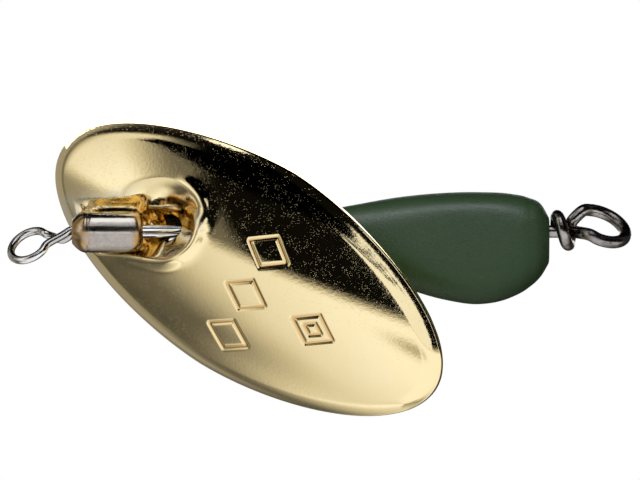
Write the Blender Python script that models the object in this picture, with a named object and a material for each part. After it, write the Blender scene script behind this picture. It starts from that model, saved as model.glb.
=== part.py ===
"""Inline spinner: a skewed, domed blade turns on a doubled wire shaft in front of a fixed keel weight.

Metres, +Z up. +X runs along the shaft from the line eye to the hook eye, and the blade's domed face looks
towards -Y. The origin is the centre of the line eye, a little below the shaft's axis.
"""

import math

import bpy
import numpy as np

MM = 0.001

# Shaft
AXIS_Z = 0.854 * MM  # height of the shaft's axis above the centre of the line eye
STRAND_R = 0.275 * MM  # front wire, used doubled
STRAND_OFFSET = 0.285 * MM  # from the axis to each strand's centre
STRAND_ROLL = math.radians(52)  # the upper strand lies nearer to -Y
STRAND_END_X = 23.0 * MM  # both strands end inside the weight

# Line eye
LINE_EYE_R = 1.28 * MM
LINE_EYE_MINOR = 0.78 * MM  # its half height as seen along Y
LINE_EYE_RISE = math.radians(30)

# Hook eye
HOOK_WIRE_R = 0.40 * MM
HOOK_START_X = 27.5 * MM
HOOK_EYE_CENTRE = (36.20 * MM, 1.20 * MM)
HOOK_EYE_R = 1.66 * MM
HOOK_EYE_MINOR = 0.84 * MM
HOOK_EYE_RISE = math.radians(-24)
WRAP_RADIUS = 0.83 * MM
WRAP_SPRING = 0.17 * MM  # the last turn stands this much further out
WRAP_START_X = 34.36 * MM
WRAP_UNDER_X = 34.16 * MM
WRAP_END_X = 33.40 * MM

# Bearing barrel
BARREL_X0 = 2.72 * MM
BARREL_X1 = 7.22 * MM
BARREL_R = 1.35 * MM
BARREL_END_R = 0.80 * MM
BARREL_FRONT_TAPER = 0.85 * MM
BARREL_REAR_ROUND = 0.62 * MM
RUNNING_BORE_R = 0.62 * MM

# Blade
SHEET = 0.50 * MM
BLADE_CENTRE = (13.80 * MM, -1.25 * MM, -1.51 * MM)
BLADE_TILT = math.radians(22)
BLADE_SPIN = math.radians(7.5)
BLADE_SKEW = math.radians(28)
HALF_LENGTH = 14.56 * MM
HALF_WIDTH = 7.03 * MM
LENGTH_POWER = 1.71
WIDTH_POWER = 1.99
DOME = 2.30 * MM
RIM_ROLL = 0.42 * MM
RIM_ROLL_WIDTH = 1.0 * MM
POCKET_FLOOR_Y = 1.62 * MM
POCKET_FROM = (3.0 * MM, 0.25 * MM)
POCKET_TO = (8.4 * MM, 0.45 * MM)
POCKET_R = 2.15 * MM
POCKET_WALL = (1.40 * MM, 2.80 * MM)  # beside the barrel, and at the hole's end
POCKET_WALL_X = (7.2 * MM, 8.6 * MM)  # where the one gives way to the other
POCKET_SOFT_WALL = 3.20 * MM  # along the top, where the pocket has no lip
POCKET_SOFT_REACH = 1.00 * MM  # how far outside the pocket's edge that wall begins
RIDGE = 0.22 * MM
RIDGE_WIDTH = 0.46 * MM
RIDGE_OFFSET = 0.18 * MM
HOLE_R = 0.80 * MM
HOLE_X = (7.6 * MM, 13.2 * MM)
GRID_CENTRE = (-5.3 * MM, 0.4 * MM)

# Braze between barrel and blade: x and height above the axis
BRAZE_CENTRE = (5.55 * MM, 0.36 * MM)
BRAZE_HALF = (2.18 * MM, 1.56 * MM)
BRAZE_FACE_Y = 0.78 * MM
BRAZE_GAP = 0.03 * MM  # to the barrel
BRAZE_SHEET_GAP = 0.13 * MM  # to the blade

# Thrust bead
BEAD_X = 11.42 * MM
BEAD_R = 1.35 * MM
BEAD_BORE_R = 0.61 * MM

# Weight: distance from the nose, height above the axis, depth below it, half thickness
NOSE_X = 13.20 * MM
WEIGHT_LENGTH = 19.73 * MM
WEIGHT_STATIONS = (
    (0.0, 0.84, 0.84, 0.84),
    (3.9, 1.06, 1.20, 1.15),
    (7.2, 1.66, 2.32, 1.85),
    (10.2, 2.18, 3.45, 2.42),
    (13.2, 2.46, 4.34, 2.74),
    (15.3, 2.50, 4.60, 2.78),
    (17.3, 2.39, 4.18, 2.58),
    (18.4, 2.15, 3.58, 2.22),
    (19.3, 1.62, 2.70, 1.66),
    (19.73, 0.84, 1.96, 1.10),
)
WEIGHT_FLAT_Y = 2.45 * MM
WEIGHT_POWER = 2.5
FRONT_BORE_R = 0.60 * MM
REAR_BORE_R = 0.43 * MM
BORE_MARGIN = 0.06 * MM

WIRE_SIDES = 10
ROUND_SIDES = 28


def clear_scene():
    for obj in list(bpy.data.objects):
        bpy.data.objects.remove(obj, do_unlink=True)


def material(name, colour, metallic, roughness):
    made = bpy.data.materials.new(name)
    made.use_nodes = True
    shader = made.node_tree.nodes["Principled BSDF"]
    shader.inputs["Base Color"].default_value = (*colour, 1.0)
    shader.inputs["Metallic"].default_value = metallic
    shader.inputs["Roughness"].default_value = roughness
    return made


def add_object(name, points, faces, made_of, sharp_deg=40):
    mesh = bpy.data.meshes.new(name)
    mesh.from_pydata([tuple(p) for p in points], [], faces)
    mesh.validate()
    mesh.polygons.foreach_set("use_smooth", [True] * len(mesh.polygons))
    mesh.set_sharp_from_angle(angle=math.radians(sharp_deg))
    mesh.materials.append(made_of)
    obj = bpy.data.objects.new(name, mesh)
    bpy.context.scene.collection.objects.link(obj)
    return obj


def ring_faces(rings, sides, closed_ends):
    """Quads from each ring to the next, with capped ends or with the last ring joined to the first."""
    faces = []
    last = rings - 1 if closed_ends else rings
    for ring in range(last):
        here = ring * sides
        there = ((ring + 1) % rings) * sides
        for side in range(sides):
            other = (side + 1) % sides
            faces.append((here + side, here + other, there + other, there + side))
    if closed_ends:
        faces.append(tuple(reversed(range(sides))))
        faces.append(tuple(range((rings - 1) * sides, rings * sides)))
    return faces


def smooth_path(controls, step):
    """Points at even steps along a Catmull-Rom curve through the controls."""
    controls = [np.array(c) for c in controls]
    padded = [2 * controls[0] - controls[1], *controls, 2 * controls[-1] - controls[-2]]
    dense = []
    for before, start, end, after in zip(padded, padded[1:], padded[2:], padded[3:]):
        for u in np.linspace(0, 1, 24, endpoint=False):
            a = 2 * start
            b = (end - before) * u
            c = (2 * before - 5 * start + 4 * end - after) * u * u
            d = (3 * start - before - 3 * end + after) * u ** 3
            dense.append(0.5 * (a + b + c + d))
    dense.append(controls[-1])
    dense = np.array(dense)
    along = np.concatenate([[0], np.cumsum(np.linalg.norm(np.diff(dense, axis=0), axis=1))])
    count = max(2, round(along[-1] / step) + 1)
    at = np.linspace(0, along[-1], count)
    return np.stack([np.interp(at, along, dense[:, k]) for k in range(3)], axis=1)


def tube(name, path, radius, made_of):
    """A round wire swept along the path, with a slightly rounded cut at both ends."""
    path = np.array(path)
    tangents = np.gradient(path, axis=0)
    tangents /= np.linalg.norm(tangents, axis=1)[:, None]
    inset = 0.15 * radius
    centres = [path[0] - inset * tangents[0], *path, path[-1] + inset * tangents[-1]]
    directions = [tangents[0], *tangents, tangents[-1]]
    radii = [radius - inset, *[radius] * len(path), radius - inset]
    side = np.cross(tangents[0], [0.0, 0.0, 1.0])
    points = []
    for centre, along, r in zip(centres, directions, radii):
        side = side - along * side.dot(along)
        side /= np.linalg.norm(side)
        up = np.cross(along, side)
        for k in range(WIRE_SIDES):
            turn = 2 * math.pi * k / WIRE_SIDES
            points.append(centre + r * (math.cos(turn) * side + math.sin(turn) * up))
    return add_object(name, points, ring_faces(len(centres), WIRE_SIDES, True), made_of)


def eye_points(centre, radius, minor, rise, start_deg, end_deg, steps):
    """Points round a circle seen tilted, with its upper side away from -Y."""
    lean = math.acos(minor / radius)
    major = np.array([math.cos(rise), 0, math.sin(rise)])
    across = np.array([-math.sin(rise), 0, math.cos(rise)]) * math.cos(lean)
    across[1] = math.sin(lean)
    points = []
    for turn in np.radians(np.linspace(start_deg, end_deg, steps)):
        points.append(centre + radius * (math.cos(turn) * major + math.sin(turn) * across))
    return points


def shaft_wire(made_of):
    reach = STRAND_OFFSET
    upper = np.array([0, -reach * math.sin(STRAND_ROLL), AXIS_Z + reach * math.cos(STRAND_ROLL)])
    lower = np.array([0, reach * math.sin(STRAND_ROLL), AXIS_Z - reach * math.cos(STRAND_ROLL)])
    along = np.array([1.0, 0, 0])
    centre = np.array([0.03 * MM, 0, -0.03 * MM])
    eye = eye_points(centre, LINE_EYE_R, LINE_EYE_MINOR, LINE_EYE_RISE, -38, -352, 13)
    bend = [upper + along * x * MM for x in (4.2, 3.7, 3.2)]
    bend.append(np.array([2.68 * MM, -0.25 * MM, 0.96 * MM]))
    bend.append(np.array([2.1 * MM, -0.36 * MM, 0.60 * MM]))
    bend += eye
    bend.append(np.array([1.64 * MM, 0.33 * MM, 0.50 * MM]))
    bend.append(np.array([2.14 * MM, 0.29 * MM, 0.33 * MM]))
    bend.append(np.array([2.68 * MM, 0.22 * MM, 0.62 * MM]))
    bend += [lower + along * x * MM for x in (3.2, 3.7, 4.2)]
    path = smooth_path(bend, 0.30 * MM)
    straight = (STRAND_END_X, 18 * MM, 14 * MM, 10 * MM, 6 * MM)
    front = [upper + along * x for x in straight]
    back = [lower + along * x for x in reversed(straight)]
    return tube("shaft_wire", [*front, *path, *back], STRAND_R, made_of)


def hook_wire(made_of):
    centre = np.array([HOOK_EYE_CENTRE[0], 0.0, HOOK_EYE_CENTRE[1]])
    eye = eye_points(centre, HOOK_EYE_R, HOOK_EYE_MINOR, HOOK_EYE_RISE, -108, 150, 12)
    controls = [np.array([x * MM, 0, AXIS_Z]) for x in (33.2, 33.6, 34.0, 34.4)]
    controls += eye
    for turn in range(50, -341, -30):
        angle = math.radians(turn)
        x = np.interp(-turn, (-50, 90, 270), (WRAP_START_X, WRAP_UNDER_X, WRAP_END_X))
        r = WRAP_RADIUS + WRAP_SPRING * np.interp(-turn, (90, 250), (0, 1))
        controls.append(np.array([x, r * math.cos(angle), AXIS_Z + r * math.sin(angle)]))
    path = smooth_path(controls, 0.34 * MM)
    start = [np.array([x, 0, AXIS_Z]) for x in (HOOK_START_X, 30 * MM)]
    return tube("hook_wire", [*start, *path], HOOK_WIRE_R, made_of)


def turned(name, profile, made_of):
    """A closed profile of (x, radius) pairs turned about the shaft's axis, with its hole left open."""
    points = []
    for x, r in profile:
        for k in range(ROUND_SIDES):
            turn = 2 * math.pi * k / ROUND_SIDES
            points.append((x, r * math.cos(turn), AXIS_Z + r * math.sin(turn)))
    return add_object(name, points, ring_faces(len(profile), ROUND_SIDES, False), made_of)


def bearing_barrel(made_of):
    outer = [(BARREL_X0, BARREL_END_R - 0.06 * MM), (BARREL_X0 + 0.05 * MM, BARREL_END_R)]
    for u in (0.3, 0.6, 0.85, 1.0):
        x = BARREL_X0 + 0.05 * MM + BARREL_FRONT_TAPER * u
        r = BARREL_END_R + (BARREL_R - BARREL_END_R) * math.sin(u * math.pi / 2)
        outer.append((x, r))
    for turn in np.radians([0, 22, 45, 67, 90]):
        x = BARREL_X1 - BARREL_REAR_ROUND * (1 - math.sin(turn))
        r = BARREL_R - BARREL_REAR_ROUND * (1 - math.cos(turn))
        outer.append((x, r))
    bore = [(BARREL_X1 - 0.05 * MM, RUNNING_BORE_R), (BARREL_X0 + 0.05 * MM, RUNNING_BORE_R)]
    mouth = [(BARREL_X0, RUNNING_BORE_R + 0.05 * MM)]
    outer.append((BARREL_X1, RUNNING_BORE_R + 0.05 * MM))
    return turned("bearing_barrel", [*outer, *bore, *mouth], made_of)


def thrust_bead(made_of):
    profile = []
    reach = math.asin((BEAD_BORE_R + 0.03 * MM) / BEAD_R)
    for turn in np.linspace(math.pi - reach, reach, 10):
        profile.append((BEAD_X + BEAD_R * math.cos(turn), BEAD_R * math.sin(turn)))
    profile += [(profile[-1][0], BEAD_BORE_R), (profile[0][0], BEAD_BORE_R)]
    return turned("thrust_bead", profile, made_of)


def weight_section(distance):
    """Height above the axis, depth below it and half thickness at this distance from the nose."""
    stations = np.array(WEIGHT_STATIONS) * MM
    at = stations[:, 0]
    slopes = np.gradient(stations[:, 1:], at, axis=0)
    right = int(np.clip(np.searchsorted(at, distance), 1, len(at) - 1))
    left = right - 1
    span = at[right] - at[left]
    u = (distance - at[left]) / span
    start, end = stations[left, 1:], stations[right, 1:]
    return (
        (2 * u ** 3 - 3 * u ** 2 + 1) * start
        + (u ** 3 - 2 * u ** 2 + u) * span * slopes[left]
        + (3 * u ** 2 - 2 * u ** 3) * end
        + (u ** 3 - u ** 2) * span * slopes[right]
    )


def body_weight(made_of):
    sides = 36
    turns = [2 * math.pi * k / sides for k in range(sides)]

    def circle(x, r):
        return [(x, r * math.cos(t), AXIS_Z + r * math.sin(t)) for t in turns]

    def section(distance):
        above, below, half = weight_section(distance)
        points = []
        for t in turns:
            c, s = math.cos(t), math.sin(t)
            tall = above if s >= 0 else below
            power = 2 / WEIGHT_POWER
            y = half * math.copysign(abs(c) ** power, c)
            z = tall * math.copysign(abs(s) ** power, s)
            y = max(-WEIGHT_FLAT_Y, min(WEIGHT_FLAT_Y, y))
            points.append((NOSE_X + distance, y, AXIS_Z + z))
        return points

    rear_x = NOSE_X + WEIGHT_LENGTH
    def end_section(distance, share):
        return [(x, share * y, AXIS_Z + share * (z - AXIS_Z)) for x, y, z in section(distance)]

    rings = [circle(STRAND_END_X + BORE_MARGIN, FRONT_BORE_R)]
    rings.append(circle(NOSE_X, FRONT_BORE_R))
    rings.append(end_section(0, 0.93))
    stops = [*np.linspace(0.08, 13.2, 11), *np.linspace(14.3, 17.3, 4), *np.linspace(17.8, 19.65, 6)]
    rings += [section(d * MM) for d in stops]
    rings.append(end_section(WEIGHT_LENGTH, 0.90))
    rings.append(circle(rear_x, REAR_BORE_R))
    rings.append(circle(HOOK_START_X - BORE_MARGIN, REAR_BORE_R))
    points = [p for ring in rings for p in ring]
    return add_object("body_weight", points, ring_faces(len(rings), sides, True), made_of, 50)


def blade_axes():
    """Unit vectors along the blade, across it and out of its domed face."""
    tilt, spin, skew = BLADE_TILT, BLADE_SPIN, BLADE_SKEW
    out = np.array([-math.sin(tilt), -math.cos(tilt) * math.cos(spin), -math.cos(tilt) * math.sin(spin)])
    back = np.array([math.cos(tilt), -math.sin(tilt) * math.cos(spin), -math.sin(tilt) * math.sin(spin)])
    down = np.array([0.0, math.sin(spin), -math.cos(spin)])
    along = math.cos(skew) * back + math.sin(skew) * down
    across = -math.sin(skew) * back + math.cos(skew) * down
    return along, across, out


def outline_value(s, t):
    """0 at the blade's centre and 1 on its outline."""
    return abs(s / HALF_LENGTH) ** LENGTH_POWER + abs(t / HALF_WIDTH) ** WIDTH_POWER


def rim_distance(s, t):
    """About how far the point lies inside the outline."""
    step = 0.01 * MM
    value = outline_value(s, t)
    slope_s = (outline_value(s + step, t) - outline_value(s - step, t)) / (2 * step)
    slope_t = (outline_value(s, t + step) - outline_value(s, t - step)) / (2 * step)
    return max(0.0, 1 - value) / max(1e-6, math.hypot(slope_s, slope_t))


def distance_to_segment(x, z, start, end):
    dx, dz = end[0] - start[0], end[1] - start[1]
    u = ((x - start[0]) * dx + (z - start[1]) * dz) / (dx * dx + dz * dz)
    u = min(1.0, max(0.0, u))
    return math.hypot(x - start[0] - u * dx, z - start[1] - u * dz)


def smoothstep(value, low, high):
    """0 at low and 1 at high."""
    u = min(1.0, max(0.0, (value - low) / (high - low)))
    return u * u * (3 - 2 * u)


def pocket_share(x, z, inside):
    """0 outside the pocket and 1 on its floor: a crisp lip below and at the right, none along the top."""
    wall = np.interp(x, POCKET_WALL_X, POCKET_WALL)
    power = np.interp(x, POCKET_WALL_X, (2.0, 1.4))
    crisp = 1 - (1 - min(1.0, max(0.0, inside / wall))) ** power
    soft = smoothstep(inside + POCKET_SOFT_REACH, 0.0, POCKET_SOFT_WALL)
    return crisp + (soft - crisp) * smoothstep(z, 0.5 * MM, 1.7 * MM)


def ridge_height(x, z, inside):
    """The raised ridge just outside the pocket's lip, round the hole's end."""
    away = (-inside - RIDGE_OFFSET) / RIDGE_WIDTH
    fade = smoothstep(x, 5.2 * MM, 7.8 * MM) * smoothstep(-z, -2.0 * MM, -0.8 * MM)
    return RIDGE * math.exp(-(away ** 2)) * fade


def blade_point(s, t, depth):
    """A point of the blade, this far below its domed face."""
    along, across, out = blade_axes()
    height = DOME * (1 - (s / HALF_LENGTH) ** 2 - (t / HALF_WIDTH) ** 2)
    rolled = max(0.0, 1 - rim_distance(s, t) / RIM_ROLL_WIDTH)
    height += RIM_ROLL * (1 - rolled ** 2)
    point = np.array(BLADE_CENTRE) + s * along + t * across + height * out
    x, z = point[0], point[2] - AXIS_Z
    inside = POCKET_R - distance_to_segment(x, z, POCKET_FROM, POCKET_TO)
    share = pocket_share(x, z, inside)
    drop = share * max(0.0, POCKET_FLOOR_Y - point[1])
    lift = ridge_height(x, z, inside) * (1 - share)
    moved = point + (lift - depth) * out
    moved[1] += drop
    return moved


def blade_front(x, z):
    """Y of the domed face at this x and at this height above the shaft's axis."""
    along, across, _ = blade_axes()
    to_sheet = np.linalg.inv(np.array([[along[0], across[0]], [along[2], across[2]]]))
    s, t = 0.0, 0.0
    for _ in range(30):
        point = blade_point(s, t, 0.0)
        miss = (x - point[0], z + AXIS_Z - point[2])
        step = 0.7 * to_sheet @ miss
        s, t = s + step[0], t + step[1]
    return blade_point(s, t, 0.0)[1]


def outline_reach(turn):
    """Distance from the grid's centre to the outline in this direction."""
    low, high = 0.0, 40 * MM
    for _ in range(40):
        middle = (low + high) / 2
        s = GRID_CENTRE[0] + middle * math.cos(turn)
        t = GRID_CENTRE[1] + middle * math.sin(turn)
        if outline_value(s, t) < 1:
            low = middle
        else:
            high = middle
    return low


def spread_turns(count):
    """Directions from the grid's centre, closer together where the outline is further away."""
    fine = np.linspace(0, 2 * math.pi, 721)
    reaches = np.array([outline_reach(t) for t in fine])
    outline = np.stack([reaches * np.cos(fine), reaches * np.sin(fine)], axis=1)
    weight = np.linalg.norm(np.diff(outline, axis=0), axis=1) + 5 * MM * np.diff(fine)
    total = np.concatenate([[0], np.cumsum(weight)])
    return np.interp(np.linspace(0, total[-1], count, endpoint=False), total, fine)


def blade(made_of):
    sides = 64
    near = [0.5, 0.9, 1.25, 1.6, 1.95, 2.3, 2.7, 3.2]
    rings = []
    turns = spread_turns(sides)
    reaches = [outline_reach(t) for t in turns]

    def ring(radii, depth):
        points = []
        for turn, r in zip(turns, radii):
            s = GRID_CENTRE[0] + r * math.cos(turn)
            t = GRID_CENTRE[1] + r * math.sin(turn)
            points.append(blade_point(s, t, depth))
        return points

    radii = [[r * MM] * sides for r in near]
    start = near[-1] * MM
    for u in (0.3, 0.62, 1.0):
        radii.append([start + u * (reach - 1.05 * MM - start) for reach in reaches])
    for inset in (0.6, 0.25, 0.0):
        radii.append([reach - inset * MM for reach in reaches])
    for row in radii:
        rings.append(ring(row, 0.0))
    edge = 0.12 * SHEET
    rings.append(ring([reach + 0.04 * MM for reach in reaches], edge * 2))
    rings.append(ring([reach + 0.04 * MM for reach in reaches], SHEET - edge * 2))
    for row in reversed(radii):
        rings.append(ring(row, SHEET))
    points = [p for row in rings for p in row]
    faces = ring_faces(len(rings), sides, True)
    made = add_object("blade", points, faces, made_of, 45)
    cut_round(made, "hole_cutter", HOLE_X, HOLE_R)
    return made


def cut_round(obj, name, ends, radius):
    """Cuts a round hole along the shaft's axis."""
    sides = 24
    points = []
    for x in ends:
        for k in range(sides):
            turn = 2 * math.pi * k / sides
            points.append((x, radius * math.cos(turn), AXIS_Z + radius * math.sin(turn)))
    cutter = add_object(name, points, ring_faces(2, sides, True), None)
    cutter.hide_render = True
    cutter.display_type = "WIRE"
    cut = obj.modifiers.new(name, "BOOLEAN")
    cut.operation = "DIFFERENCE"
    cut.solver = "EXACT"
    cut.object = cutter


def braze_fillet(made_of):
    """Solder between the barrel and the blade, standing out as a bead along the barrel's upper side."""
    sides = 40
    turns = [2 * math.pi * k / sides for k in range(sides)]
    top, bottom = [], []
    for scale in (1.0, 0.97, 0.88, 0.7, 0.4):
        upper, lower = [], []
        for turn in turns:
            c, s = math.cos(turn), math.sin(turn)
            x = BRAZE_CENTRE[0] + scale * BRAZE_HALF[0] * math.copysign(abs(c) ** 0.5, c)
            z = BRAZE_CENTRE[1] + scale * BRAZE_HALF[1] * math.copysign(abs(s) ** 0.5, s)
            sheet = blade_front(x, z) - BRAZE_SHEET_GAP
            rise = (1 - scale ** 8) ** 0.5
            face = min(sheet - 0.06 * MM, sheet + (BRAZE_FACE_Y - sheet) * rise)
            upper.append((x, face, AXIS_Z + z))
            lower.append((x, sheet, AXIS_Z + z))
        top.append(upper)
        bottom.append(lower)
    rings = [*reversed(top), *bottom]
    points = [p for ring in rings for p in ring]
    made = add_object("braze_fillet", points, ring_faces(len(rings), sides, True), made_of)
    cut_round(made, "barrel_seat_cutter", (2.0 * MM, BARREL_X1 + BRAZE_GAP), BARREL_R + BRAZE_GAP)
    return made


def main():
    clear_scene()
    wire_steel = material("wire_steel", (0.62, 0.62, 0.62), 1.0, 0.22)
    dull_steel = material("dull_steel", (0.35, 0.33, 0.32), 1.0, 0.35)
    gold_plate = material("gold_plate", (0.92, 0.78, 0.45), 1.0, 0.12)
    nickel = material("nickel", (0.66, 0.63, 0.60), 1.0, 0.2)
    green_paint = material("green_paint", (0.035, 0.075, 0.038), 0.0, 0.6)
    brass = material("brass", (0.80, 0.62, 0.30), 1.0, 0.25)
    braze = material("braze", (0.86, 0.60, 0.24), 1.0, 0.3)
    shaft_wire(wire_steel)
    hook_wire(dull_steel)
    body_weight(green_paint)
    thrust_bead(brass)
    blade(gold_plate)
    bearing_barrel(nickel)
    braze_fillet(braze)


main()
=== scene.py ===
"""Looks for the inline spinner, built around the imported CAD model.

Every CAD node is replaced by a finer mesh in the same frame: metres, +Z up, +X along the shaft, the blade's
domed face towards -Y. Two shapes differ from the CAD: the blade's pocket is narrower beside the barrel and
shallower along its upper right, and the sheet is thicker behind the hole. The marks stamped on the blade are
plain lozenges.
"""

import math

import bpy
import numpy as np
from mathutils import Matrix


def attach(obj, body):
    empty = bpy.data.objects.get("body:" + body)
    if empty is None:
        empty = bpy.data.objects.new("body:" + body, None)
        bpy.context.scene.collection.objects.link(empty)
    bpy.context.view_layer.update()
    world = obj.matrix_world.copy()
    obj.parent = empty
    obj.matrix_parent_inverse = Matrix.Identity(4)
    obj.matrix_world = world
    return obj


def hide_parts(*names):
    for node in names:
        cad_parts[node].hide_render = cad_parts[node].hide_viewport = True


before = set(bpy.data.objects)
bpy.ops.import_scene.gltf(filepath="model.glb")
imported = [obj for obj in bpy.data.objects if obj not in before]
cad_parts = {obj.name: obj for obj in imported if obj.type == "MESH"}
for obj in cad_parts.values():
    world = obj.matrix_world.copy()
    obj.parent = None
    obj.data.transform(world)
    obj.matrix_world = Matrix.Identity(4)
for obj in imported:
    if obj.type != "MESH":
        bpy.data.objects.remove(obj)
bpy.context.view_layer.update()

MM = 0.001

# Shaft and wires
AXIS_Z = 0.854 * MM
STRAND_R = 0.262 * MM
STRAND_OFFSET = 0.285 * MM
STRAND_ROLL = math.radians(52)
STRAND_END_X = 23.0 * MM
LINE_EYE = {"radius": 1.28 * MM, "minor": 0.78 * MM, "rise": math.radians(30)}
HOOK_EYE = {"radius": 1.66 * MM, "minor": 0.84 * MM, "rise": math.radians(-24)}
HOOK_EYE_CENTRE = (36.20 * MM, 0.0, 1.20 * MM)
HOOK_WIRE_R = 0.396 * MM
HOOK_START_X = 27.5 * MM
WRAP_RADIUS = 0.83 * MM
WRAP_SPRING = 0.17 * MM
WRAP_X = (34.36 * MM, 34.16 * MM, 33.40 * MM)
WIRE_SIDES = 28

# Barrel, bead and braze
BARREL_X0 = 2.72 * MM
BARREL_X1 = 7.22 * MM
BARREL_R = 1.345 * MM
BARREL_END_R = 0.80 * MM
BARREL_TAPER = 0.85 * MM
BARREL_ROUND = 0.62 * MM
BARREL_CHAMFER = 0.05 * MM
BARREL_GROOVE = ((0.04, 0.0), (0.08, 0.02), (0.13, 0.03), (0.18, 0.02), (0.24, 0.0))  # mm along, mm deep
RUNNING_BORE_R = 0.62 * MM
BEAD_X = 11.42 * MM
BEAD_R = 1.345 * MM
BEAD_BORE_R = 0.61 * MM
BRAZE_CENTRE = (5.55 * MM, 0.36 * MM)
BRAZE_HALF = (2.16 * MM, 1.55 * MM)
BRAZE_FACE_Y = 0.78 * MM
BRAZE_BEAD_Y = -0.42 * MM
BRAZE_BEAD_R = 0.34 * MM
BRAZE_SINK = 0.03 * MM  # how far it sinks into the blade
BRAZE_SQUARE = (0.42, 0.5)  # the lower, the squarer its corners, along and across the shaft
BRAZE_BEAD_Z = (0.70 * MM, 1.15 * MM)  # the bead rises only this far above and below its middle

# Weight: distance from the nose, height above the axis, depth below it, half thickness
NOSE_X = 13.20 * MM
WEIGHT_LENGTH = 19.73 * MM
WEIGHT_STATIONS = (
    (0.0, 0.84, 0.84, 0.84),
    (3.9, 1.06, 1.20, 1.15),
    (7.2, 1.66, 2.32, 1.85),
    (10.2, 2.18, 3.45, 2.42),
    (13.2, 2.46, 4.34, 2.74),
    (15.3, 2.50, 4.60, 2.78),
    (17.3, 2.39, 4.18, 2.58),
    (18.4, 2.15, 3.58, 2.22),
    (19.3, 1.62, 2.70, 1.66),
    (19.73, 0.84, 1.96, 1.10),
)
WEIGHT_FLAT_Y = 2.45 * MM
WEIGHT_POWER = 2.5
WEIGHT_BLEND = 14  # the higher, the sharper the edge of the flats
WEIGHT_SIDES = 120
BORE_END_GAP = 0.06 * MM  # between a wire's end and the bottom of its bore
FRONT_BORE_R = 0.60 * MM
REAR_BORE_R = 0.43 * MM

# Blade
SHEET = 0.50 * MM
EDGE_ROUND = 0.11 * MM
BLADE_CENTRE = np.array([13.80, -1.25, -1.51]) * MM
BLADE_TILT = math.radians(22)
BLADE_SPIN = math.radians(7.5)
BLADE_SKEW = math.radians(28)
HALF_LENGTH = 14.46 * MM
HALF_WIDTH = 6.93 * MM
LENGTH_POWER = 1.71
WIDTH_POWER = 1.99
DOME = 2.30 * MM
RIM_ROLL = 0.42 * MM
RIM_ROLL_WIDTH = 1.0 * MM
POCKET_FLOOR_Y = 1.62 * MM
POCKET_FROM = np.array([3.0, 0.25]) * MM
POCKET_TO = np.array([8.4, 0.45]) * MM
POCKET_R = 2.15 * MM
POCKET_FRONT_R = 1.78 * MM  # its radius beside the barrel
POCKET_WIDENS = (0.45, 1.0)  # where it widens, as shares of the way from POCKET_FROM to POCKET_TO
POCKET_WALL = (1.40 * MM, 2.80 * MM)  # beside the barrel, and at the hole's end
POCKET_WALL_POWER = (2.0, 1.4)
POCKET_WALL_X = (7.2 * MM, 8.6 * MM)
POCKET_SOFT_WALL = 3.20 * MM  # along the top, where the pocket has no lip
POCKET_SOFT_REACH = 1.00 * MM  # how far outside the pocket's edge that wall begins
POCKET_SOFT_DEPTH = 0.62  # as a share of the pocket's depth
POCKET_SOFT_X = (5.6 * MM, 7.6 * MM)
POCKET_SOFT_Z = (0.7 * MM, 1.6 * MM)
RIDGE = 0.22 * MM
RIDGE_HIGHEST = 0.50 * MM
RIDGE_HIGHEST_DEG = -66  # where that is, seen from POCKET_TO
RIDGE_SPREAD_DEG = 26
RIDGE_ENDS_DEG = (75, 30)
RIDGE_WIDTH = 0.46 * MM
RIDGE_OFFSET = (0.18 * MM, 0.80 * MM)  # from the pocket's edge, on the axis and at the top
RIDGE_BEGINS_X = (5.0 * MM, 6.2 * MM)  # below and above the axis
RIDGE_RAMP = 2.6 * MM
HOLE_R = 0.88 * MM
HOLE_RISE = 0.22 * MM  # the hole's centre above the axis
HOLE_X = (8.0 * MM, 13.2 * MM)
HOLE_MARK_X = (7.0 * MM, 13.0 * MM)  # where the attribute counts a point as inside the hole, whose wall gets painted shade
BOSS = 0.80 * MM  # extra thickness behind the hole
BOSS_CENTRE = np.array([9.3, 0.3]) * MM
BOSS_R = 1.7 * MM

# Wear inside the pocket: heat tint low behind the barrel, frost above
HEAT_EDGE = (0.02 * MM, 0.5 * MM)  # how far inside the pocket's edge it sets in
HEAT_BEGINS_X = (5.2 * MM, 7.0 * MM)
HEAT_ENDS_X = (11.0 * MM, 10.0 * MM)
HEAT_Z = (0.1 * MM, -0.7 * MM)
FROST_EDGE = (-0.9 * MM, 0.2 * MM)
FROST_Z = (-0.2 * MM, 0.5 * MM)
FACE_REACH = 0.05 * MM  # a point this close to the domed face belongs to it

# Stamped lozenges: centre along and across the blade, half length and half width
STROKE = 0.15 * MM
STAMP_DEPTH = 0.09 * MM
LOZENGES = (
    (1.46, -2.45, 1.45, 1.05),
    (1.46, 0.63, 1.45, 1.05),
    (1.46, 3.71, 1.45, 1.05),
    (6.27, 0.38, 1.45, 1.05),
    (6.27, 0.38, 0.62, 0.42),
)


# ---------------------------------------------------------------- meshes

def add_mesh(name, points, faces, material, body, node, sharp_deg=50):
    """A piece that stands for one CAD node and rides on its body."""
    mesh = bpy.data.meshes.new(name)
    mesh.from_pydata([tuple(p) for p in points], [], faces)
    mesh.validate()
    mesh.polygons.foreach_set("use_smooth", [True] * len(mesh.polygons))
    mesh.set_sharp_from_angle(angle=math.radians(sharp_deg))
    mesh.materials.append(material)
    obj = bpy.data.objects.new(name, mesh)
    bpy.context.scene.collection.objects.link(obj)
    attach(obj, body)
    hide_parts(node)
    return obj


def ring_faces(rings, sides, closed_ends):
    """Quads from each ring to the next, with capped ends or with the last ring joined to the first."""
    faces = []
    last = rings - 1 if closed_ends else rings
    for ring in range(last):
        here = ring * sides
        there = ((ring + 1) % rings) * sides
        for side in range(sides):
            other = (side + 1) % sides
            faces.append((here + side, here + other, there + other, there + side))
    if closed_ends:
        faces.append(tuple(reversed(range(sides))))
        faces.append(tuple(range((rings - 1) * sides, rings * sides)))
    return faces


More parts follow.
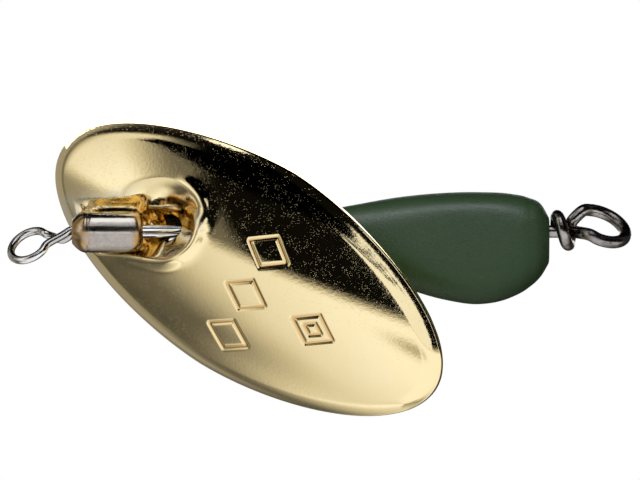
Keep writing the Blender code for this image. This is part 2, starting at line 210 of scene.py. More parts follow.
def smooth_path(controls, step):
    """Points at even steps along a Catmull-Rom curve through the controls."""
    controls = [np.array(c) for c in controls]
    padded = [2 * controls[0] - controls[1], *controls, 2 * controls[-1] - controls[-2]]
    dense = []
    for before, start, end, after in zip(padded, padded[1:], padded[2:], padded[3:]):
        for u in np.linspace(0, 1, 24, endpoint=False):
            a = 2 * start
            b = (end - before) * u
            c = (2 * before - 5 * start + 4 * end - after) * u * u
            d = (3 * start - before - 3 * end + after) * u ** 3
            dense.append(0.5 * (a + b + c + d))
    dense.append(controls[-1])
    dense = np.array(dense)
    along = np.concatenate([[0], np.cumsum(np.linalg.norm(np.diff(dense, axis=0), axis=1))])
    count = max(2, round(along[-1] / step) + 1)
    at = np.linspace(0, along[-1], count)
    path = np.stack([np.interp(at, along, dense[:, k]) for k in range(3)], axis=1)
    for _ in range(3):  # evens out the curvature between the controls
        path[1:-1] = 0.25 * path[:-2] + 0.5 * path[1:-1] + 0.25 * path[2:]
    return path


def tube(name, path, radius, material, body, node):
    """A round wire swept along the path, with rounded cuts at both ends."""
    path = np.array(path)
    tangents = np.gradient(path, axis=0)
    tangents /= np.linalg.norm(tangents, axis=1)[:, None]
    rounding = [(1.0, 0.62), (0.7, 0.86), (0.3, 0.97)]
    corner = 0.2 * radius
    centres, directions, radii = [], [], []
    for out, share in rounding:
        centres.append(path[0] - out * corner * tangents[0])
        directions.append(tangents[0])
        radii.append(share * radius)
    centres += list(path)
    directions += list(tangents)
    radii += [radius] * len(path)
    for out, share in reversed(rounding):
        centres.append(path[-1] + out * corner * tangents[-1])
        directions.append(tangents[-1])
        radii.append(share * radius)
    side = np.cross(tangents[0], [0.0, 0.0, 1.0])
    points = []
    for centre, along, r in zip(centres, directions, radii):
        side = side - along * side.dot(along)
        side /= np.linalg.norm(side)
        up = np.cross(along, side)
        for k in range(WIRE_SIDES):
            turn = 2 * math.pi * k / WIRE_SIDES
            points.append(centre + r * (math.cos(turn) * side + math.sin(turn) * up))
    faces = ring_faces(len(centres), WIRE_SIDES, True)
    return add_mesh(name, points, faces, material, body, node, 60)


def eye_points(centre, eye, start_deg, end_deg, steps):
    """Points round a circle seen tilted, with its upper side away from -Y."""
    lean = math.acos(eye["minor"] / eye["radius"])
    major = np.array([math.cos(eye["rise"]), 0, math.sin(eye["rise"])])
    across = np.array([-math.sin(eye["rise"]), 0, math.cos(eye["rise"])]) * math.cos(lean)
    across[1] = math.sin(lean)
    points = []
    for turn in np.radians(np.linspace(start_deg, end_deg, steps)):
        points.append(centre + eye["radius"] * (math.cos(turn) * major + math.sin(turn) * across))
    return points


def shaft_wire(material):
    """One wire from inside the weight forwards, round the line eye and back beside itself."""
    sideways = STRAND_OFFSET * math.sin(STRAND_ROLL)
    upwards = STRAND_OFFSET * math.cos(STRAND_ROLL)
    upper = np.array([0, -sideways, AXIS_Z + upwards])
    lower = np.array([0, sideways, AXIS_Z - upwards])
    along = np.array([1.0, 0, 0])
    bend = [upper + along * x * MM for x in (4.2, 3.7, 3.2)]
    bend += [np.array(p) * MM for p in ((2.68, -0.25, 0.96), (2.1, -0.36, 0.60))]
    bend += eye_points(np.array([0.03, 0, -0.03]) * MM, LINE_EYE, -38, -352, 13)
    bend += [np.array(p) * MM for p in ((1.64, 0.33, 0.50), (2.14, 0.29, 0.33), (2.68, 0.22, 0.62))]
    bend += [lower + along * x * MM for x in (3.2, 3.7, 4.2)]
    path = smooth_path(bend, 0.08 * MM)
    straight = np.linspace(STRAND_END_X, 4.3 * MM, 60)
    front = [upper + along * x for x in straight]
    back = [lower + along * x for x in reversed(straight)]
    path = [*front, *path, *back]
    return tube("shaft_wire_fine", path, STRAND_R, material, "frame", "shaft_wire")


def hook_wire(material):
    """A straight stem, the hook eye and one wrap round the stem."""
    eye = eye_points(np.array(HOOK_EYE_CENTRE), HOOK_EYE, -108, 150, 12)
    controls = [np.array([x * MM, 0, AXIS_Z]) for x in (33.2, 33.6, 34.0, 34.4)]
    controls += eye
    for turn in range(50, -341, -30):
        angle = math.radians(turn)
        x = np.interp(-turn, (-50, 90, 270), WRAP_X)
        r = WRAP_RADIUS + WRAP_SPRING * np.interp(-turn, (90, 250), (0, 1))
        controls.append(np.array([x, r * math.cos(angle), AXIS_Z + r * math.sin(angle)]))
    path = smooth_path(controls, 0.09 * MM)
    straight = np.linspace(HOOK_START_X, 33.1 * MM, 30)
    start = [np.array([x, 0, AXIS_Z]) for x in straight]
    return tube("hook_wire_fine", [*start, *path], HOOK_WIRE_R, material, "frame", "hook_wire")


def turned(name, profile, sides, material, node, body):
    """A closed profile of (x, radius) pairs turned about the shaft's axis, with its hole left open."""
    points = []
    for x, r in profile:
        for k in range(sides):
            turn = 2 * math.pi * k / sides
            points.append((x, r * math.cos(turn), AXIS_Z + r * math.sin(turn)))
    return add_mesh(name, points, ring_faces(len(profile), sides, False), material, body, node)


def bearing_barrel(material):
    """A sleeve that tapers to the front, with a shallow groove behind the taper and a rounded rear end."""
    outer = [(BARREL_X0, BARREL_END_R - 0.06 * MM), (BARREL_X0 + 0.03 * MM, BARREL_END_R - 0.01 * MM)]
    start = BARREL_X0 + BARREL_CHAMFER
    for u in np.linspace(0.05, 1.0, 14):
        bulge = math.sin(u * math.pi / 2) ** 0.9
        outer.append((start + BARREL_TAPER * u, BARREL_END_R + (BARREL_R - BARREL_END_R) * bulge))
    shoulder = start + BARREL_TAPER
    for offset, drop in BARREL_GROOVE:
        outer.append((shoulder + offset * MM, BARREL_R - drop * MM))
    for x in np.linspace(shoulder + 0.4 * MM, BARREL_X1 - BARREL_ROUND - 0.1 * MM, 12):
        outer.append((x, BARREL_R))
    for turn in np.radians(np.linspace(0, 90, 13)):
        x = BARREL_X1 - BARREL_ROUND * (1 - math.sin(turn))
        outer.append((x, BARREL_R - BARREL_ROUND * (1 - math.cos(turn)) ** 1.15))
    outer.append((BARREL_X1, RUNNING_BORE_R + BARREL_CHAMFER))
    bore = [(BARREL_X1 - BARREL_CHAMFER, RUNNING_BORE_R), (BARREL_X0 + BARREL_CHAMFER, RUNNING_BORE_R)]
    mouth = [(BARREL_X0, RUNNING_BORE_R + BARREL_CHAMFER)]
    profile = [*outer, *bore, *mouth]
    return turned("bearing_barrel_fine", profile, 96, material, "bearing_barrel", "rotor")


def thrust_bead(material):
    """A drilled ball."""
    profile = []
    reach = math.asin((BEAD_BORE_R + 0.03 * MM) / BEAD_R)
    for turn in np.linspace(math.pi - reach, reach, 24):
        profile.append((BEAD_X + BEAD_R * math.cos(turn), BEAD_R * math.sin(turn)))
    profile += [(profile[-1][0], BEAD_BORE_R), (profile[0][0], BEAD_BORE_R)]
    return turned("thrust_bead_fine", profile, 64, material, "thrust_bead", "bead")


def weight_section(distance):
    """Height above the axis, depth below it and half thickness at this distance from the nose."""
    stations = np.array(WEIGHT_STATIONS) * MM
    at = stations[:, 0]
    slopes = np.gradient(stations[:, 1:], at, axis=0)
    right = int(np.clip(np.searchsorted(at, distance), 1, len(at) - 1))
    left = right - 1
    span = at[right] - at[left]
    u = (distance - at[left]) / span
    start, end = stations[left, 1:], stations[right, 1:]
    return (
        (2 * u ** 3 - 3 * u ** 2 + 1) * start
        + (u ** 3 - 2 * u ** 2 + u) * span * slopes[left]
        + (3 * u ** 2 - 2 * u ** 3) * end
        + (u ** 3 - u ** 2) * span * slopes[right]
    )


def body_weight(material):
    """The weight as rings along the shaft's axis, with a bore at each end for its wire."""
    turns = [2 * math.pi * (k + 0.5) / WEIGHT_SIDES for k in range(WEIGHT_SIDES)]

    def circle(x, r):
        return [(x, r * math.cos(t), AXIS_Z + r * math.sin(t)) for t in turns]

    def section(distance, share=1.0):
        above, below, half = weight_section(distance)
        points = []
        for t in turns:
            c, s = math.cos(t), math.sin(t)
            tall = above if s >= 0 else below
            y = half * math.copysign(abs(c) ** (2 / WEIGHT_POWER), c)
            z = tall * math.copysign(abs(s) ** (2 / WEIGHT_POWER), s)
            y = y / (1 + abs(y / WEIGHT_FLAT_Y) ** WEIGHT_BLEND) ** (1 / WEIGHT_BLEND)
            points.append((NOSE_X + distance, share * y, AXIS_Z + share * z))
        return points

    rear_x = NOSE_X + WEIGHT_LENGTH
    rings = [circle(STRAND_END_X + BORE_END_GAP, FRONT_BORE_R), circle(NOSE_X, FRONT_BORE_R)]
    rings.append(section(0, 0.93))
    stops = [0.03, *np.linspace(0.12, 17.3, 72), *np.linspace(17.5, 19.68, 26)]
    rings += [section(d * MM) for d in stops]
    rings.append(section(19.715 * MM, 0.97))
    rings.append(section(WEIGHT_LENGTH, 0.90))
    rings.append(circle(rear_x, REAR_BORE_R))
    rings.append(circle(HOOK_START_X - BORE_END_GAP, REAR_BORE_R))
    points = [p for ring in rings for p in ring]
    faces = ring_faces(len(rings), WEIGHT_SIDES, True)
    return add_mesh("body_weight_fine", points, faces, material, "frame", "body_weight", 60)


# ---------------------------------------------------------------- blade

def blade_axes():
    """Unit vectors along the blade, across it and out of its domed face."""
    tilt, spin, skew = BLADE_TILT, BLADE_SPIN, BLADE_SKEW
    out = np.array([-math.sin(tilt), -math.cos(tilt) * math.cos(spin), -math.cos(tilt) * math.sin(spin)])
    back = np.array([math.cos(tilt), -math.sin(tilt) * math.cos(spin), -math.sin(tilt) * math.sin(spin)])
    down = np.array([0.0, math.sin(spin), -math.cos(spin)])
    along = math.cos(skew) * back + math.sin(skew) * down
    across = -math.sin(skew) * back + math.cos(skew) * down
    return along, across, out


ALONG, ACROSS, OUT = blade_axes()


def outline_value(s, t):
    """0 at the blade's centre and 1 on its outline."""
    return np.abs(s / HALF_LENGTH) ** LENGTH_POWER + np.abs(t / HALF_WIDTH) ** WIDTH_POWER


def rim_distance(s, t):
    """About how far the point lies inside the outline."""
    step = 0.01 * MM
    value = outline_value(s, t)
    slope_s = (outline_value(s + step, t) - outline_value(s - step, t)) / (2 * step)
    slope_t = (outline_value(s, t + step) - outline_value(s, t - step)) / (2 * step)
    return np.maximum(0, 1 - value) / np.maximum(1e-6, np.hypot(slope_s, slope_t))


def smoothstep(value, low, high):
    """0 at low and 1 at high, which may be the smaller of the two."""
    u = np.clip((value - low) / (high - low), 0, 1)
    return u * u * (3 - 2 * u)


def stamp_share(s, t):
    """1 along the middle of a stamped stroke, 0 away from it."""
    nearest = np.full(np.shape(s), 1.0)
    for centre_s, centre_t, long, wide in LOZENGES:
        corners = [(long, 0), (0, wide), (-long, 0), (0, -wide)]
        for (a, b), (c, d) in zip(corners, corners[1:] + corners[:1]):
            start = (np.array([centre_s + a, centre_t + b])) * MM
            edge = np.array([c - a, d - b]) * MM
            u = ((s - start[0]) * edge[0] + (t - start[1]) * edge[1]) / (edge @ edge)
            u = np.clip(u, 0, 1)
            gap = np.hypot(s - start[0] - u * edge[0], t - start[1] - u * edge[1])
            nearest = np.minimum(nearest, gap)
    return 1 - smoothstep(nearest, 0.35 * STROKE, 1.15 * STROKE)


def pocket_inside(x, z):
    """How far a point lies inside the pocket's edge, from its x and its height above the axis."""
    edge = POCKET_TO - POCKET_FROM
    u = np.clip(((x - POCKET_FROM[0]) * edge[0] + (z - POCKET_FROM[1]) * edge[1]) / (edge @ edge), 0, 1)
    radius = POCKET_FRONT_R + (POCKET_R - POCKET_FRONT_R) * smoothstep(u, *POCKET_WIDENS)
    return radius - np.hypot(x - POCKET_FROM[0] - u * edge[0], z - POCKET_FROM[1] - u * edge[1])


def pocket_share(x, z):
    """0 outside the pocket and 1 on its floor: a crisp lip below and at the right, a soft upper right."""
    inside = pocket_inside(x, z)
    wall = np.interp(x, POCKET_WALL_X, POCKET_WALL)
    crisp = 1 - (1 - np.clip(inside / wall, 0, 1)) ** np.interp(x, POCKET_WALL_X, POCKET_WALL_POWER)
    soft = POCKET_SOFT_DEPTH * smoothstep(inside + POCKET_SOFT_REACH, 0, POCKET_SOFT_WALL)
    upper = smoothstep(z, *POCKET_SOFT_Z) * smoothstep(x, *POCKET_SOFT_X)
    return crisp + (soft - crisp) * upper


def ridge_height(x, z):
    """The raised ridge just outside the pocket's lip, highest at its lower right."""
    outside = -pocket_inside(x, z)
    offset = np.interp(z, (0.0, 2.2 * MM), RIDGE_OFFSET)
    begin = np.interp(z, (-1.0 * MM, 1.0 * MM), RIDGE_BEGINS_X)
    turn = np.degrees(np.arctan2(z - POCKET_TO[1], x - POCKET_TO[0]))
    peak = RIDGE + (RIDGE_HIGHEST - RIDGE) * np.exp(-(((turn - RIDGE_HIGHEST_DEG) / RIDGE_SPREAD_DEG) ** 2))
    peak = peak * smoothstep(turn, *RIDGE_ENDS_DEG)
    across = np.exp(-(((outside - offset) / RIDGE_WIDTH) ** 2))
    return peak * across * smoothstep(x, begin, begin + RIDGE_RAMP)


def blade_points(s, t, behind):
    """Points of the domed face, or of the hollow face where behind is true."""
    height = DOME * (1 - (s / HALF_LENGTH) ** 2 - (t / HALF_WIDTH) ** 2)
    rolled = np.maximum(0, 1 - rim_distance(s, t) / RIM_ROLL_WIDTH)
    height = height + RIM_ROLL * (1 - rolled ** 2)
    points = BLADE_CENTRE + s[..., None] * ALONG + t[..., None] * ACROSS + height[..., None] * OUT
    x, z = points[..., 0], points[..., 2] - AXIS_Z
    share = pocket_share(x, z)
    drop = share * np.maximum(0, POCKET_FLOOR_Y - points[..., 1])
    lift = ridge_height(x, z) * (1 - share)
    if behind:
        away = np.hypot(x - BOSS_CENTRE[0], z - BOSS_CENTRE[1]) / BOSS_R
        lift = lift - SHEET - BOSS * np.maximum(0, 1 - away ** 2) ** 2
    else:
        lift = lift - STAMP_DEPTH * stamp_share(s, t)
    moved = points + lift[..., None] * OUT
    moved[..., 1] += drop
    return moved


def stations(stops):
    """Positions from (start, step) pairs up to the last start, each stretch divided evenly."""
    found = []
    for (start, step), (end, _) in zip(stops, stops[1:]):
        count = max(1, round((end - start) / step))
        found += list(np.linspace(start, end, count, endpoint=False))
    return np.array([*found, stops[-1][0]])


def blade(material):
    """The sheet as two faces and a rounded edge; rows run along it and columns across it.

    The rows lie closer together at the tips, the pocket and the lozenges, the columns at the edges.
    """
    rows = stations((
        (-0.9999, 0.0006), (-0.995, 0.003), (-0.96, 0.008), (-0.76, 0.0055), (-0.20, 0.011), (-0.05, 0.0042),
        (0.24, 0.009), (0.30, 0.0042), (0.56, 0.012), (0.96, 0.003), (0.995, 0.0006), (0.9999, 0.0006),
    ))
    columns = stations((
        (-1.0, 0.004), (-0.97, 0.010), (-0.86, 0.0125), (0.86, 0.010), (0.97, 0.004), (1.0, 1.0),
    ))
    half_widths = HALF_WIDTH * (1 - np.abs(rows) ** LENGTH_POWER) ** (1 / WIDTH_POWER)
    s = np.repeat((rows * HALF_LENGTH)[:, None], len(columns), axis=1)
    t = half_widths[:, None] * columns[None, :]
    front = blade_points(s, t, False)
    back = blade_points(s, t, True)
    wide = len(columns)
    tall = len(rows)
    points = np.concatenate([front.reshape(-1, 3), back.reshape(-1, 3)])
    below = tall * wide
    faces = []
    for i in range(tall - 1):
        for j in range(wide - 1):
            a, b = i * wide + j, i * wide + j + 1
            c, d = a + wide, b + wide
            faces.append((a, b, d, c))
            faces.append((below + a, below + c, below + d, below + b))
    rim = [i * wide for i in range(tall)]
    rim += [(tall - 1) * wide + j for j in range(1, wide)]
    rim += [i * wide + wide - 1 for i in range(tall - 2, -1, -1)]
    rim += [j for j in range(wide - 2, 0, -1)]
    rounding = rounded_edge(points, rim, below)
    points = np.concatenate([points, *rounding])
    layers = [np.array(rim)]
    for k in range(len(rounding)):
        layers.append(2 * below + k * len(rim) + np.arange(len(rim)))
    layers.append(np.array(rim) + below)
    for upper, lower in zip(layers, layers[1:]):
        for k in range(len(rim)):
            nxt = (k + 1) % len(rim)
            faces.append((int(upper[k]), int(upper[nxt]), int(lower[nxt]), int(lower[k])))
    made = add_mesh("blade_fine", points, faces, material, "rotor", "blade", 55)
    bore_hole(made)
    mark_wear_and_hole_shade(made)
    return made


def rounded_edge(points, rim, below):
    """Rows of points that round the blade's edge between its two faces."""
    upper = points[rim]
    lower = points[[below + k for k in rim]]
    centre = (upper + lower) / 2
    flat = centre - BLADE_CENTRE
    outward = flat - (flat @ OUT)[:, None] * OUT
    outward /= np.linalg.norm(outward, axis=1)[:, None]
    layers = []
    for turn in np.radians([60, 30, 0, -30, -60]):
        bulge = EDGE_ROUND * math.cos(turn)
        layers.append(centre + math.sin(turn) * (upper - centre) + bulge * outward)
    return layers


def bore_hole(obj):
    """Cuts the round hole for the shaft, parallel to the shaft's axis."""
    sides = 72
    points = []
    for x in HOLE_X:
        for k in range(sides):
            turn = 2 * math.pi * k / sides
            points.append((x, HOLE_R * math.cos(turn), AXIS_Z + HOLE_RISE + HOLE_R * math.sin(turn)))
    mesh = bpy.data.meshes.new("hole_cutter")
    mesh.from_pydata(points, [], ring_faces(2, sides, True))
    cutter = bpy.data.objects.new("hole_cutter", mesh)
    bpy.context.scene.collection.objects.link(cutter)
    cut = obj.modifiers.new("hole", "BOOLEAN")
    cut.operation = "DIFFERENCE"
    cut.solver = "EXACT"
    cut.object = cutter
    bpy.context.view_layer.update()
    graph = bpy.context.evaluated_depsgraph_get()
    holed = bpy.data.meshes.new_from_object(obj.evaluated_get(graph))
    obj.modifiers.clear()
    obj.data = holed
    bpy.data.objects.remove(cutter, do_unlink=True)
    holed.polygons.foreach_set("use_smooth", [True] * len(holed.polygons))
    holed.set_sharp_from_angle(angle=math.radians(40))


def mark_wear_and_hole_shade(obj):
    """Stores where the blade is stamped, heat tinted, on the shaft hole's wall (for painted shade there) and
    frosted: one attribute's four channels.
    """
    mesh = obj.data
    points = np.empty(len(mesh.vertices) * 3)
    mesh.vertices.foreach_get("co", points)
    points = points.reshape(-1, 3)
    from_centre = points - BLADE_CENTRE
    s, t = from_centre @ ALONG, from_centre @ ACROSS
    x, z = points[:, 0], points[:, 2] - AXIS_Z
    in_front = np.linalg.norm(blade_points(s, t, False) - points, axis=1) < FACE_REACH
    stamped = stamp_share(s, t) * in_front
    inside = pocket_inside(x, z)
    heat = smoothstep(inside, *HEAT_EDGE) * smoothstep(x, *HEAT_BEGINS_X)
    heat = heat * smoothstep(z, *HEAT_Z) * smoothstep(x, *HEAT_ENDS_X)
    heat = heat * in_front
    frost = in_front * smoothstep(inside, *FROST_EDGE) * smoothstep(z, *FROST_Z)
    # points on the shaft hole's wall, which the gold material darkens as painted shade
    hole_shade = np.hypot(points[:, 1], z - HOLE_RISE) < HOLE_R + 0.01 * MM
    hole_shade = hole_shade & (x > HOLE_MARK_X[0]) & (x < HOLE_MARK_X[1])
    colour = np.stack([stamped, heat, hole_shade.astype(float), frost], axis=1)
    wear_and_shade = mesh.attributes.new("wear_and_shade", "FLOAT_COLOR", "POINT")
    wear_and_shade.data.foreach_set("color", colour.astype(np.float32).ravel())


def blade_front(x, z):
    """Y of the domed face at these x and at these heights above the shaft's axis."""
    to_sheet = np.linalg.inv(np.array([[ALONG[0], ACROSS[0]], [ALONG[2], ACROSS[2]]]))
    s, t = np.zeros_like(x), np.zeros_like(x)
    for _ in range(40):
        point = blade_points(s, t, False)
        miss = np.stack([x - point[..., 0], z + AXIS_Z - point[..., 2]], axis=-1)
        step = 0.7 * miss @ to_sheet.T
        s, t = s + step[..., 0], t + step[..., 1]
    return blade_points(s, t, False)[..., 1]


def braze_fillet(material):
    """Solder between the barrel and the blade: a lumpy pad with a thick bead round its edge."""
    sides = 180
    turns = np.linspace(0, 2 * math.pi, sides, endpoint=False)
    c, s = np.cos(turns), np.sin(turns)
    shape_x = np.sign(c) * np.abs(c) ** BRAZE_SQUARE[0]
    shape_z = np.sign(s) * np.abs(s) ** BRAZE_SQUARE[1]
    lumps = 0.985 + 0.012 * np.sin(5 * turns + 0.6) + 0.008 * np.sin(13 * turns + 1.9)
    upper, lower = [], []
    for scale in np.sin(np.linspace(1.0, 0.05, 40) * math.pi / 2):
        x = BRAZE_CENTRE[0] + scale * BRAZE_HALF[0] * shape_x * lumps
        z = BRAZE_CENTRE[1] + scale * BRAZE_HALF[1] * shape_z * lumps
        sheet = blade_front(x, z) + BRAZE_SINK
        in_from_edge = (1 - scale) * BRAZE_HALF[1]
        round_off = np.sqrt(np.clip(1 - (1 - in_from_edge / BRAZE_BEAD_R) ** 2, 0, 1))
        wave = 1 + 0.10 * np.sin(9 * turns + 4 * scale) + 0.06 * np.sin(23 * turns + 1.3)
        proud = wave * smoothstep(np.abs(z), *BRAZE_BEAD_Z)
        proud = proud * np.exp(-(((in_from_edge - BRAZE_BEAD_R) / (0.9 * BRAZE_BEAD_R)) ** 2))
        bead_y = BRAZE_FACE_Y + (BRAZE_BEAD_Y - BRAZE_FACE_Y) * proud
        face = sheet + (np.minimum(bead_y, sheet) - sheet) * round_off
        upper.append(np.stack([x, face - 0.002 * MM, AXIS_Z + z], axis=1))
        lower.append(np.stack([x, sheet, AXIS_Z + z], axis=1))
    rings = [*reversed(upper), *lower[1:]]
    points = np.concatenate(rings)
    faces = ring_faces(len(rings), sides, True)
    return add_mesh("braze_fillet_fine", points, faces, material, "rotor", "braze_fillet", 60)


# ---------------------------------------------------------------- materials

class Graph:
    """Builds a node tree from short calls. Sockets are passed as values."""

    def __init__(self, tree):
        self.tree = tree

    def node(self, kind, sockets=(), **settings):
        made = self.tree.nodes.new(kind)
        for name, value in settings.items():
            setattr(made, name, value)
        for name, value in dict(sockets).items():
            self.put(made.inputs[name], value)
        return made

    def put(self, socket, value):
        if isinstance(value, bpy.types.NodeSocket):
            self.tree.links.new(value, socket)
        elif isinstance(value, tuple) and len(value) == 3 and socket.type == "RGBA":
            socket.default_value = (*value, 1.0)
        else:
            socket.default_value = value

    def math(self, operation, a, b=0.0):
        return self.node("ShaderNodeMath", {0: a, 1: b}, operation=operation).outputs[0]

    def add(self, a, b):
        return self.math("ADD", a, b)

    def times(self, a, b):
        return self.math("MULTIPLY", a, b)

    def step(self, value, low, high, out_low=0.0, out_high=1.0):
        """A smooth rise, or a smooth fall where high is below low."""
        if low > high:
            low, high, out_low, out_high = high, low, out_high, out_low
        made = self.node("ShaderNodeMapRange", interpolation_type="SMOOTHSTEP")
        for name, item in (("Value", value), ("From Min", low), ("From Max", high),
                           ("To Min", out_low), ("To Max", out_high)):
            self.put(made.inputs[name], item)
        return made.outputs["Result"]

    def mix(self, share, a, b):
        made = self.node("ShaderNodeMix", data_type="RGBA")
        self.put(made.inputs["Factor"], share)
        self.put(made.inputs["A"], a)
        self.put(made.inputs["B"], b)
        return made.outputs["Result"]

    def noise(self, scale, detail=3.0, rough=0.5, where=None, stretch=None):
        """Noise with features of about 1/scale metres, read at the object's own coordinates."""
        where = where or self.place()
        if stretch:
            where = self.node("ShaderNodeMapping", {"Vector": where, "Scale": stretch}).outputs[0]
        made = self.node("ShaderNodeTexNoise", {"Scale": scale, "Detail": detail, "Roughness": rough})
        self.put(made.inputs["Vector"], where)
        return made.outputs["Fac"]

    def place(self):
        return self.node("ShaderNodeTexCoord").outputs["Object"]

    def bump(self, height, distance, strength=1.0, under=None):
        made = self.node("ShaderNodeBump", {"Strength": strength, "Distance": distance, "Height": height})
        if under:
            self.put(made.inputs["Normal"], under)
        return made.outputs["Normal"]


def new_material(name, metallic, **fixed):
    """A material, its graph and its shader, with fixed values on sockets named as Emission_Strength is."""
    made = bpy.data.materials.new(name)
    made.use_nodes = True
    shader = made.node_tree.nodes["Principled BSDF"]
    shader.inputs["Metallic"].default_value = metallic
    for socket, value in fixed.items():
        shader.inputs[socket.replace("_", " ")].default_value = value
    return made, Graph(made.node_tree), shader


GOLD = (0.93, 0.76, 0.42)
GOLD_DEEP = (0.87, 0.69, 0.35)
GOLD_STAMPED = (0.70, 0.42, 0.14)
GOLD_FROSTED = (0.93, 0.84, 0.62)
HEAT_ORANGE = (0.62, 0.27, 0.045)
HEAT_BROWN = (0.17, 0.075, 0.028)
# painted shade for the wall of the shaft hole
HOLE_PAINTED_SHADE = (0.035, 0.022, 0.014)
NICKEL = ((0.80, 0.74, 0.64), (0.64, 0.57, 0.46))
# painted shade for the barrel's lower half
NICKEL_PAINTED_SHADE = ((0.52, 0.46, 0.40), (0.17, 0.14, 0.115))
NICKEL_STAIN = ((0.74, 0.45, 0.13), (0.30, 0.15, 0.05))
BRAZE_PALE = ((1.0, 0.94, 0.70), (0.95, 0.74, 0.36))
BRAZE_ORANGE = ((1.0, 0.74, 0.28), (0.80, 0.44, 0.10))
BRIGHT_STEEL = ((0.88, 0.85, 0.80), (0.52, 0.49, 0.45))
DULL_STEEL = ((0.46, 0.42, 0.38), (0.18, 0.155, 0.14))
STEEL_PIT = (0.05, 0.042, 0.038)
GREEN = ((0.024, 0.058, 0.016), (0.032, 0.070, 0.021))
GREEN_GRAIN = (0.056, 0.098, 0.048)
GREEN_DUST = (0.14, 0.19, 0.13)
BRASS = ((0.80, 0.60, 0.26), (0.42, 0.27, 0.10))


def gold_material():
    """Gold plate with stamped marks, heat tint, frost, orange peel and fine dust, and painted shade on the
    wall of the shaft hole.
    """
    made, g, shader = new_material("gold_plate_worn_shaded_hole", 1.0)
    wear_and_shade = g.node("ShaderNodeAttribute", attribute_name="wear_and_shade").outputs
    parts = g.node("ShaderNodeSeparateColor", {"Color": wear_and_shade["Color"]}).outputs
    frost = g.times(wear_and_shade["Alpha"], g.step(g.noise(1900, 5, 0.7), 0.30, 0.60, 0.35, 1.0))
    stamped, heat, hole_shade = parts[0], parts[1], parts[2]
    broad = g.noise(260, 4, 0.55)
    tone = g.mix(g.step(broad, 0.35, 0.75, 0.0, 0.30), GOLD, GOLD_DEEP)
    tone = g.mix(g.times(stamped, 0.75), tone, GOLD_STAMPED)
    tone = g.mix(g.times(frost, 0.9), tone, GOLD_FROSTED)
    patchy = g.noise(1500, 5, 0.6)
    tinted = g.mix(g.step(patchy, 0.40, 0.62), HEAT_ORANGE, HEAT_BROWN)
    amount = g.times(heat, g.step(g.noise(900, 4, 0.6), 0.30, 0.62))
    tone = g.mix(g.times(amount, 0.85), tone, tinted)
    # painted shade: the shaft hole's wall is darkened nearly to black
    tone = g.mix(g.times(hole_shade, 0.93), tone, HOLE_PAINTED_SHADE)
    g.put(shader.inputs["Base Color"], tone)
    fine = g.noise(4200, 3, 0.6)
    rough = g.add(g.step(fine, 0.3, 0.8, 0.035, 0.085), g.times(heat, 0.16))
    rough = g.add(rough, g.add(g.times(stamped, 0.10), g.times(frost, 0.30)))
    g.put(shader.inputs["Roughness"], rough)
    peel = g.bump(g.noise(5200, 3, 0.6), 0.0000036)
    cells = g.node("ShaderNodeTexVoronoi", {"Scale": 11500.0, "Randomness": 1.0}, feature="F1")
    g.put(cells.inputs["Vector"], g.place())
    where_dusty = g.step(g.noise(1100, 4, 0.75), 0.44, 0.56)
    dust = g.times(g.step(cells.outputs["Distance"], 0.20, 0.05), where_dusty)
    g.put(shader.inputs["Normal"], g.bump(dust, 0.0000045, 1.0, peel))
    return made


def nickel_material():
    """Nickel with brown heat stains at both ends and specks, and painted shade darkening its lower half in
    cloudy patches.
    """
    made, g, shader = new_material("nickel_stained_shaded_below", 1.0)
    split = g.node("ShaderNodeSeparateXYZ", {"Vector": g.place()}).outputs
    front = g.step(split["X"], 4.1 * MM, 3.2 * MM)
    rear = g.step(split["X"], 6.35 * MM, 6.95 * MM)
    patch = g.step(g.noise(1300, 5, 0.65), 0.40, 0.60)
    stain = g.times(g.math("MAXIMUM", front, rear), g.add(0.35, g.times(patch, 0.65)))
    specks = g.times(g.step(g.noise(2600, 4, 0.7), 0.60, 0.70), 0.55)
    stain = g.math("MAXIMUM", stain, specks)
    warm = g.mix(g.noise(2100, 4, 0.6), *NICKEL_STAIN)
    clean = g.mix(g.noise(600, 3, 0.5), *NICKEL)
    # painted shade: below the axis the nickel is darkened, with a cloudy edge and patches
    height = g.add(split["Z"], g.times(g.noise(1100, 3, 0.6), 0.25 * MM))
    lower = g.step(height, AXIS_Z + 0.2 * MM, AXIS_Z - 0.1 * MM)
    clean = g.mix(g.times(lower, 0.85), clean, g.mix(g.noise(1900, 5, 0.7), *NICKEL_PAINTED_SHADE))
    g.put(shader.inputs["Base Color"], g.mix(stain, clean, warm))
    streak = g.noise(900, 4, 0.65, stretch=(0.25, 1.0, 1.0))
    g.put(shader.inputs["Roughness"], g.add(g.step(streak, 0.3, 0.75, 0.10, 0.24), g.times(stain, 0.12)))
    g.put(shader.inputs["Normal"], g.bump(g.noise(3800, 4, 0.65), 0.000005))
    return made


def braze_material():
    """Rippled solder, pale at the front and orange at the rear."""
    made, g, shader = new_material("braze_gold", 1.0)
    split = g.node("ShaderNodeSeparateXYZ", {"Vector": g.place()}).outputs
    right = g.step(split["X"], 6.0 * MM, 7.4 * MM)
    patch = g.step(g.noise(1500, 5, 0.6), 0.40, 0.62)
    pale = g.mix(patch, *BRAZE_PALE)
    orange = g.mix(patch, *BRAZE_ORANGE)
    g.put(shader.inputs["Base Color"], g.mix(right, pale, orange))
    g.put(shader.inputs["Roughness"], g.step(g.noise(2300, 4, 0.6), 0.3, 0.75, 0.20, 0.36))
    ripples = g.bump(g.noise(1700, 4, 0.6), 0.00003)
    g.put(shader.inputs["Normal"], g.bump(g.noise(6500, 3, 0.6), 0.000006, 1.0, ripples))
    return made


